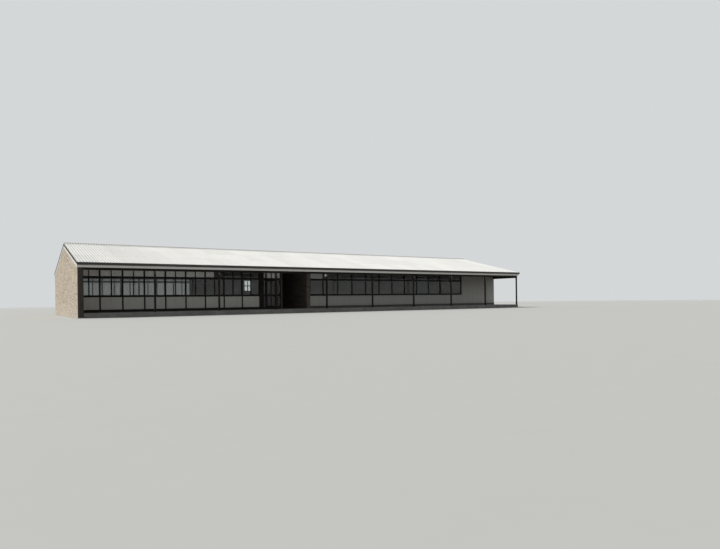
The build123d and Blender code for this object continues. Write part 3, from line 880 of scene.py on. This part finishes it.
# %% [markdown]
# The entrance screen stands between the last west window and the porch: a broad panelled
# stile, a side light at each side of the doorway, and two small top lights over it.

# %% Entrance screen
screen_start = grid_zero + front_count * module + mullion / 2
door_start = grid_zero + 11.45
door_end = door_start + 0.77
door_head = floor + 1.985
screen_end = grid_zero + 12.515
broad_stile = 0.26
face, back = -wall_face, frame_depth - wall_face
all_rows = (spandrel_row, light_row, top_light_row)
for x0, x1, stile in (
    (screen_start, door_start, broad_stile),
    (door_end, screen_end, screen_stile),
):
    posts = [(x0, x0 + stile), (x1 - screen_stile, x1)]
    window_wall(posts, frame_depth, all_rows, full_rails, face, 1, 0, glass_back)
for x in (screen_start + 0.06, screen_start + 0.2):
    low, high = (x - 0.006, face - 0.006, bottom_rail), (x + 0.006, face + 0.002, window_head)
    bench.bar(low, high, 2, 0.002)
bench.piece("entrance_side_members", stained, "dark_timber", "entrance_side_frames")

bench.bar((door_start, face, door_head), (door_end, back, transom_high), 0)
bench.bar((door_start, face, window_head), (door_end, back, wall_top), 0)
a, b = door_start + screen_stile, door_end - screen_stile
for x0, x1 in ((door_start, a), (b, door_end)):
    bench.bar((x0, face + 0.001, transom_high), (x1, back - 0.001, window_head), 2)
c, d = (a + b - glazing_bar) / 2, (a + b + glazing_bar) / 2
bench.bar((c, face + 0.004, transom_high), (d, back - 0.03, window_head), 2)
for x0, x1 in ((a, c), (d, b)):
    hung_pane(x0, x1, *top_light_row, face + glass_back, 1)
bench.piece("entrance_head_members", stained, "dark_timber", "entrance_head_frame")

# %% [markdown]
# The east windows are set back in the masonry above a low wall, one pane to each light, with a
# sloping sill that throws rain clear of the wall.

# %% East windows
windows_east = grid_zero + 23 * module + 1.12
recess_face = 0.06 - wall_face
east_mullion, east_depth, east_glass_back = 0.07, 0.075, 0.035
lines = [windows_west] + [grid_zero + k * module for k in range(13, 24)] + [windows_east]
posts, rows = uprights(lines, east_mullion), (light_row, top_light_row)
window_wall(posts, east_depth, rows, full_rails[1:], recess_face, 1, 0, east_glass_back)
bench.piece("front_window_members_east", stained, "dark_timber", "front_frame_east")

sill_nose, sill_back, sill_under = -wall_face - 0.022, recess_face - 0.0005, sill_low + 0.0005
sill_section = [
    (sill_nose, sill_under),
    (sill_back, sill_under),
    (sill_back, floor + 0.892),
    (sill_nose, floor + 0.872),
]
for x0, x1 in lengths(windows_west, windows_east, 6):
    bench.loft([[(x, y, z) for y, z in sill_section] for x in (x0, x1 - 0.003)], 0)
bench.piece("east_window_sills", stained, "dark_timber")

# %% [markdown]
# ## Posts, beams and end beams
# Square posts carry a beam along each veranda. Their corners are chamfered between a
# plain foot and a plain head, so that nobody bruises a shoulder on them, and two bolts hold
# the beam at each post. The beam comes in lengths that meet on the posts.

# %% Veranda frame
beam_height = 0.25
beam_bottom = lining_under(post_line) - beam_height
post_lines = [grid_zero + k * bay for k in range(1, bay_count + 1)]
inner, outer = post_line - post_half, post_line + post_half
post_shape = (  # height and chamfer, from the foot to the head
    (floor, 0.003),
    (floor + 0.16, 0.003),
    (floor + 0.19, 0.014),
    (beam_bottom - 0.2, 0.014),
    (beam_bottom - 0.17, 0.003),
    (beam_bottom, 0.003),
)
for side in (-1, 1):
    for x in post_lines:
        y = side * post_line
        box = (x - post_half, x + post_half, y - post_half, y + post_half)
        bench.loft([[(a, b, z) for a, b in eased(*box, ease)] for z, ease in post_shape])
bench.piece("chamfered_posts", stained, "dark_timber", "veranda_posts")

beam_section = [
    (inner + 0.004, beam_bottom),
    (outer - 0.004, beam_bottom),
    (outer, beam_bottom + 0.004),
    (outer, lining_under(outer)),
    (inner, lining_under(outer)),
    (inner, beam_bottom + 0.004),
]
beam_joints = [west_inside, *post_lines[1::2], east]
for side in (-1, 1):
    for x0, x1 in zip(beam_joints, beam_joints[1:]):
        ends = (x0 + fine_joint, x1 - fine_joint)
        bench.loft([[(x, side * y, z) for y, z in beam_section] for x in ends], 0)
bench.piece("veranda_beam_lengths", stained, "dark_timber", "veranda_beams")

end_x, end_bottom = post_lines[-1], beam_bottom - 0.06
for side in (-1, 1):
    near = (end_x - post_half, side * wall_face, end_bottom)
    far = (end_x + post_half, side * inner, end_bottom + beam_height)
    bench.bar(near, far, 1, 0.004)
bench.piece("end_beam_members", stained, "dark_timber", "veranda_end_beams")

beam_bolt = ((12, 0.022, 0.0, 0.004), (6, 0.012, 0.004, 0.013))  # washer, then head
for side in (-1, 1):
    for x in post_lines:
        for z in (beam_bottom - 0.055, beam_bottom - 0.135):
            for sides, radius, *depths in beam_bolt:
                corners = circle(sides, radius)
                rings = [[(x + a, side * (outer + d), z + b) for a, b in corners] for d in depths]
                bench.loft(rings, 1)
bench.piece("post_bolts", zinc, "ironmongery")

# %% [markdown]
# ## Spandrel panels and cover strips
# Below the sills the frames hold flat cement sheets, painted a pale warm grey. Each module
# needs two sheets, and a thin strip covers the joint between them. The paint has faded
# a little and the splash from the ground has left it darker low down.


# %% Painted sheet finish
def flat_paint(name, base, dirt, streak_scale, roughness=0.72, head_shade=0.0):
    """Flat paint: faint upright streaks, a darker foot and, if asked, painted shade at its head."""
    finish = Finish(name)
    drips = finish.noise(streak_scale, 5, (5, 5, 0.5), 0.6)
    cloud = finish.noise(0.8, 4)
    brush = finish.noise(1.5, 3, (12, 12, 90))
    colour = finish.wash(base, dirt, drips, 0.42, 0.78, 0, 0.32)
    colour = finish.wash(colour, [0.85 * v for v in base], cloud, 0.35, 0.7, 0, 0.25)
    uneven_height = finish.sum(finish.axis("Z"), finish.times(drips, 0.35))
    colour = finish.wash(colour, dirt, uneven_height, 0.35, 0.75, 0.45, 0)
    if head_shade:
        # Painted shade: darker towards the head of the wall, where the lining above shades it.
        painted_head_shade = [0.6 * v for v in dirt]
        colour = finish.wash(colour, painted_head_shade, finish.axis("Z"), 0.9, 2.5, 0, head_shade)
    finish.colour(colour)
    finish.rough(finish.span(cloud, 0.3, 0.7, roughness + 0.08, roughness - 0.06))
    finish.emboss(finish.sum(brush, cloud), 0.0006, 0.4)
    return finish


panel_paint = flat_paint("painted_flat_sheet", (0.575, 0.568, 0.525), (0.31, 0.295, 0.26), 1.6)
panel_depth, panel_set_back = 0.06, 0.02
strip_half, strip_thickness = 0.02, 0.009
for inward, count in ((1, front_count), (-1, rear_count)):
    outside = -inward * (wall_face - panel_set_back)
    sheet = (outside, outside + inward * panel_depth)
    strip = (outside - inward * strip_thickness, outside)
    for k in range(count):
        a = grid_zero + k * module + mullion / 2 if k else west_inside + mullion
        b = grid_zero + (k + 1) * module - mullion / 2
        middle = (a + b) / 2
        for x0, x1, (y0, y1), ease in (
            (a, middle - fine_joint, sheet, 0.002),
            (middle + fine_joint, b, sheet, 0.002),
            (middle - strip_half, middle + strip_half, strip, 0.003),
        ):
            bench.bar((x0, y0, bottom_rail), (x1, y1, sill_low), 2, ease)
panels = ["front_spandrels_west", "rear_spandrels_west"]
bench.piece("spandrel_sheets", panel_paint, "spandrel_panel", *panels)

# %% [markdown]
# ## Fascias and barge boards
# Painted softwood boards finish the eaves and the rakes. They come in lengths, so fine
# joints show, and the arrises are rubbed down so that the paint holds on them. The capping
# above each barge board is stained like the frames and throws a dark line under the sheets.

# %% Fascia and barge boards
fascia_top = roof_under(eave_face)
fascia_height, fascia_thickness = 0.235, 0.025
for side in (-1, 1):
    y0, y1 = side * (eave_face - fascia_thickness), side * eave_face
    for x0, x1 in lengths(west, east, 7):
        near = (x0, y0, fascia_top - fascia_height)
        far = (x1 - fine_joint, y1, fascia_top - 0.0005)
        bench.bar(near, far, 0, 0.004)
bench.piece("fascia_boards", painted, "pale_timber", "fascias")

capping_height = 0.095


def rake_boards(drop, height, thickness, ease):
    for x0, x1 in ((west - thickness, west), (east, east + thickness)):
        for side in (-1, 1):
            rings = []
            for q in (0.001, eave_face):
                top_z = roof_under(q) - drop
                corners = eased(x0, x1, top_z - height, top_z, ease)
                rings.append([(x, side * q, z) for x, z in corners])
            bench.loft(rings, 1)


rake_boards(capping_height, 0.145, 0.016, 0.004)
bench.piece("rake_boards_painted", painted, "pale_timber", "barge_boards")
rake_boards(0.0, capping_height, 0.018, 0.003)
bench.piece("rake_cappings_stained", stained, "dark_timber", "barge_cappings")

# %% [markdown]
# The front end of the west gable stops the eave. It is cased in three upright boards, whose
# stain has worn, that hang under the fascia and hide the toothed end of the bricks.

# %% Gable end casing
casing_board = 0.092
casing_step = casing_board + fine_joint
casing_back, casing_front = 0.0245 - eave_face, 0.005 - eave_face
for k in range(3):
    x0 = west + 0.0005 + k * casing_step
    low = (x0, casing_front, 0.03)
    high = (x0 + casing_board, casing_back, fascia_top - fascia_height - 0.0005)
    bench.bar(low, high, 2, 0.004)
bench.piece("gable_end_casing", worn_stained, "dark_timber")

# %% [markdown]
# ## Gutters
# The gutter's shape is right as it stands, so it keeps its solid and only takes a finish: dark
# gloss paint over zinc, dulled by dust. Straps across its top hold the lip every 1.2 m.

# %% Gutter finish and straps
gutter_shades = ((0.3, (0.018, 0.016, 0.015)), (0.75, (0.045, 0.041, 0.038)))
gutter_paint = mottled(
    "dark_gutter_paint", 3, 6, gutter_shades, (0.38, 0.62), (0.0008, 0.35), (0.6, 4, 4)
)
strap_low = eave_height - 0.037
strap_count, strap_half = 28, 0.011
first_strap, last_strap = west + 0.45, east - 0.45
for side in (-1, 1):
    y0, y1 = side * (eave_face + 0.006), side * (eave_face + 0.109)
    for k in range(strap_count):
        x = first_strap + k * (last_strap - first_strap) / (strap_count - 1)
        low, high = (x - strap_half, y0, strap_low), (x + strap_half, y1, strap_low + 0.003)
        bench.bar(low, high, 1, 0.001)
bench.piece("gutter_straps", gutter_paint, "gutter_metal")

# %% [markdown]
# ## Walls in render, linings, ceiling and slabs
# These solids are plain on the real building too, so they stay, and each gets a finish
# of its own. The render and the linings are painted, so they use the recipe of the panels,
# and the render takes a painted shade towards its head, where the lining shades it. The slabs
# are floated concrete, greyer where feet and weather reach them.

# %% Render, plinth, lining and concrete
# The last number paints shade towards the head of the render, under the lining.
render_paint = flat_paint(
    "painted_render", (0.47, 0.462, 0.43), (0.27, 0.262, 0.235), 1.1, 0.8, head_shade=0.75
)
lining_paint = flat_paint("lining_paint", (0.74, 0.73, 0.69), (0.52, 0.505, 0.46), 2.2, 0.7)
plinth_shades = ((0.3, (0.055, 0.05, 0.046)), (0.7, (0.12, 0.11, 0.10)))
plinth_coat = mottled(
    "dark_plinth_coat", 5, 6, plinth_shades, (0.85, 0.6), (0.002, 0.4), (1, 1, 3)
)

concrete = Finish("floated_concrete")
float_marks = concrete.noise(2.2, 7, rough=0.6)
sand_grain = concrete.noise(180, 3)
wear = concrete.noise(0.9, 4, (0.35, 1.5, 1))
colour = concrete.ramp(float_marks, (0.3, (0.15, 0.147, 0.137)), (0.7, (0.25, 0.244, 0.228)))
colour = concrete.wash(colour, (0.14, 0.137, 0.127), wear, 0.4, 0.7, 0, 0.4)
concrete.colour(concrete.wash(colour, (0.11, 0.107, 0.10), sand_grain, 0.5, 0.75, 0, 0.35))
concrete.rough(concrete.span(float_marks, 0.3, 0.7, 0.95, 0.78))
concrete.emboss(concrete.sum(sand_grain, float_marks), 0.002, 0.45)


def dress(finish, *nodes):
    """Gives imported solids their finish."""
    for node in nodes:
        mesh = solids[node].data
        mesh.materials.clear()
        mesh.materials.append(finish.material)
    print(finish.material.name, "on", *nodes)


dress(render_paint, "front_wall_east", "rear_wall")
dress(plinth_coat, "front_plinth_east")
dress(concrete, "room_slab")
dress(gutter_paint, "gutters")
dress(lining_paint, "veranda_linings", "ceiling")
dress(panel_paint, "east_gable_infills")

# %% [markdown]
# The veranda slabs were poured bay by bay, with a tooled groove between the pours and a
# rounded nose along the edge. The linings are flat sheets with a thin batten over each joint.

# %% Slab bays and lining battens
slab_nose = 0.1
slab_edge = post_line + slab_nose
pours = [west_inside, *post_lines[:-1], east]
groove_half, groove_slope, groove_depth = 0.002, 0.008, 0.006
for side in (-1, 1):
    for x0, x1 in zip(pours, pours[1:]):
        rings = []
        for x, inset in (
            (x0 + groove_half, groove_depth),
            (x0 + groove_slope, 0),
            (x1 - groove_slope, 0),
            (x1 - groove_half, groove_depth),
        ):
            section = [
                (wall_face, 0.0),
                (slab_edge, 0.0),
                (slab_edge, floor - 0.02),
                (slab_edge - 0.006, floor - 0.006 - inset / 2),
                (slab_edge - 0.02, floor - inset),
                (wall_face, floor - inset),
            ]
            rings.append([(x, side * y, z) for y, z in section])
        bench.loft(rings, 0)
bench.piece("veranda_slab_bays", concrete, "concrete", "veranda_slabs")

batten_half, batten_thickness = 0.02, 0.008
fascia_back = eave_face - fascia_thickness
batten_runs = ((wall_face + 0.001, inner - 0.001), (outer + 0.001, fascia_back - 0.001))
for side in (-1, 1):
    for k in range(1, 3 * bay_count):
        x = grid_zero + k * module
        x0, x1 = x - batten_half, x + batten_half
        for run in batten_runs:
            rings = []
            for q in run:
                y, z = side * q, lining_under(q)
                low = z - batten_thickness
                rings.append([(x0, y, low), (x1, y, low), (x1, y, z), (x0, y, z)])
            bench.loft(rings, 1)
bench.piece("lining_battens", lining_paint, "lining")

# %% [markdown]
# ## Glass
# Window glass is nearly clear. By day it shows the room and, over that, a pale reflection of
# the open sky, which grows towards grazing angles. Principled with high transmission does
# both. The studio is paler all round than open ground, so the index is set under that of real
# glass to keep the reflection faint. Old panes are never quite flat, so a shallow ripple bends
# it. Some panes are obscured: those at the back of the west room and the high window beside
# them are rolled glass under dust, and the top panes of its front, of the entrance and, in
# part, of the first light past the porch are frosted. A mask by place tells them apart.

# %% Glass finishes
mid_transom = floor + 2.0
rear_frame_end = grid_zero + rear_count * module + 0.05
first_light_half = 0.55


def window_glass(name, film, tint, obscured, cloud_colour, cloud_share):
    """Glass under a faint film. obscured gives 1 on panes that can't be seen through clearly."""
    finish = Finish(name)
    mask = obscured(finish)
    ripple = finish.noise(1.8, 2, (1, 1, 0.6))
    dust = finish.noise(3, 5, (2, 2, 1))
    clear = finish.ramp(dust, (0.3, [0.93 * v for v in tint]), (0.75, tint))
    cloudy = finish.wash(cloud_colour, (0.30, 0.30, 0.28), dust, 0.3, 0.75, 0.3, 0)
    finish.colour(finish.blend(mask, clear, cloudy))
    finish.put("Transmission Weight", finish.span(mask, 0, 1, 1 - film, 1 - cloud_share))
    finish.put("IOR", 1.3)
    finish.rough(finish.sum(finish.span(dust, 0.3, 0.8, 0.015, 0.07), finish.times(mask, 0.1)))
    finish.emboss(ripple, 0.004, 0.15)
    return finish


def top_panes(finish, end=east):
    """1 on the panes above the transom, from the west to the given end."""
    high = finish.work("GREATER_THAN", finish.axis("Z"), mid_transom)
    return finish.times(high, finish.work("LESS_THAN", finish.axis("X"), end))


def front_panes(finish):
    """1 on the west room's top panes, and a share on those of the first light past the porch."""
    words = {0: finish.axis("X"), 1: windows_west + first_light_half, 2: first_light_half}
    past_porch = finish.add("Math", words, operation="COMPARE").outputs[0]
    share = finish.times(past_porch, top_panes(finish))
    room = top_panes(finish, grid_zero + 6.5 * module)
    return finish.sum(room, finish.times(share, 0.55))


def rear_panes(finish):
    """A share on the west room's panes and 1 on the high window beside them."""
    room = finish.work("LESS_THAN", finish.axis("X"), rear_frame_end)
    both = finish.work("LESS_THAN", finish.axis("X"), rear_frame_end + 1.6)
    return finish.work("SUBTRACT", both, finish.times(room, 0.5))


pale_tint, grey_tint = (0.90, 0.92, 0.91), (0.78, 0.80, 0.79)
frost, back_dust = ((0.92, 0.92, 0.90), 1.0), ((0.30, 0.31, 0.305), 0.8)
front_glass = window_glass("front_window_glass", 0.05, pale_tint, front_panes, *frost)
rear_glass = window_glass("rear_window_glass", 0.03, pale_tint, rear_panes, *back_dust)
entrance_glass = window_glass("entrance_glass", 0.02, grey_tint, top_panes, *frost)
dress(front_glass, "front_glass")
dress(rear_glass, "rear_glass")
dress(entrance_glass, "entrance_glass", "entrance_door_glass")

opal_shades = ((0.3, (0.80, 0.80, 0.77)), (0.7, (0.88, 0.88, 0.85)))
opal = mottled("opal_lamp_bowl", 30, 3, opal_shades, (0.22, 0.36), (0.0006, 0.3))
opal.put("Coat Weight", 0.5)
dress(opal, "veranda_lamp")

# %% [markdown]
# ## The entrance door
# The leaf is framed like the screen: two stiles, a top rail, a lock rail and a deep
# bottom rail, with a muntin down the middle and four panes held by beads. It turns on its
# hinges, so the members made here ride on the leaf and not on the building.

# %% Door leaf
door_gap, door_stile, leaf_thickness = 0.008, 0.1, 0.04
door_bead, bead_depth, bead_set_back = 0.012, 0.0125, 0.004
leaf_west, leaf_east = door_start + door_gap, door_end - door_gap
leaf_bottom, leaf_top = floor + 0.01, door_head - door_gap
outer_face, inner_face = back - leaf_thickness, back
a, b = leaf_west + door_stile, leaf_east - door_stile
c, d = (a + b - glazing_bar) / 2, (a + b + glazing_bar) / 2
leaf_rails = (
    (leaf_bottom, leaf_bottom + 0.2),
    (floor + 0.86, floor + 0.97),
    (leaf_top - 0.11, leaf_top),
)
for x0, x1 in ((leaf_west, a), (b, leaf_east)):
    bench.bar((x0, outer_face, leaf_bottom), (x1, inner_face, leaf_top), 2)
for z0, z1 in leaf_rails:
    bench.bar((a, outer_face + 0.001, z0), (b, inner_face - 0.001, z1), 0)
for (_, z0), (z1, _) in zip(leaf_rails, leaf_rails[1:]):
    bench.bar((c, outer_face + 0.002, z0), (d, inner_face - 0.002, z1), 2)
    for x0, x1 in ((a, c), (d, b)):
        for y0 in (outer_face + bead_set_back, inner_face - bead_set_back - bead_depth):
            beads(x0, x1, y0, y0 + bead_depth, z0, z1, door_bead, 0.0025)
body = "entrance_door_leaf"
bench.piece("entrance_leaf_members", stained, "dark_timber", "entrance_door", body=body)

metal_shades = ((0.35, (0.30, 0.29, 0.27)), (0.7, (0.62, 0.61, 0.58)))
door_metal = mottled(
    "worn_door_metal", 25, 5, metal_shades, (0.5, 0.24), (0.0003, 0.4), (1, 1, 3), metallic=0.9
)
dress(door_metal, "door_frame_hinges", "door_leaf_hinges", "door_handles")

# %% [markdown]
# ## The porch
# Beside the entrance a deep, dark porch leads in. Its timber walls are upright boards with
# V-shaped joints, varnished brown and fixed to a flat backing.

# %% Porch boarding
board_width, board_thickness, groove = 0.14, 0.014, 0.005
wall_depth = 0.1


def boarding(low, high, wide, faces, name, node):
    """Upright boards on the given faces of a wall that runs along the axis wide."""
    thin = 1 - wide
    near, far = list(low), list(high)
    if -1 in faces:
        near[thin] += board_thickness
    if 1 in faces:
        far[thin] -= board_thickness
    bench.bar(near, far, 2, 0.0005)
    count = round((high[wide] - low[wide]) / board_width)
    for face in faces:
        for start, end in lengths(low[wide], high[wide], count):
            near, far = list(low), list(high)
            near[wide], far[wide] = start + 0.0003, end - 0.0003
            if face < 0:
                far[thin] = low[thin] + board_thickness
            else:
                near[thin] = high[thin] - board_thickness
            bench.bar(near, far, 2, groove)
    bench.piece(name, varnished, "dark_timber", node)


side_low, side_high = (porch_west - wall_depth, face, floor), (porch_west, porch_back, wall_top)
boarding(side_low, side_high, 1, (-1, 1), "porch_west_boards", "porch_west_wall")
back_low = (porch_west - wall_depth, porch_back, floor)
back_high = (windows_west, porch_back + wall_depth, wall_top)
boarding(back_low, back_high, 0, (-1, 1), "porch_back_boards", "porch_back_wall")
head_low, head_high = (porch_west, face, window_head), (porch_east, face + wall_thickness, wall_top)
boarding(head_low, head_high, 0, (-1,), "porch_header_boards", "porch_header")

# %% [markdown]
# ## Rear windows
# The rear wall has one high window and one small window of four panes, both with the same
# stained timber as the front. Their frames keep their solids, which have no recorded grain, so
# the figure runs along the building.

# %% Rear window frames
plain_stain = grained("dark_stained_timber_plain", *stain, from_bench=False)
dress(plain_stain, "rear_window_frames")
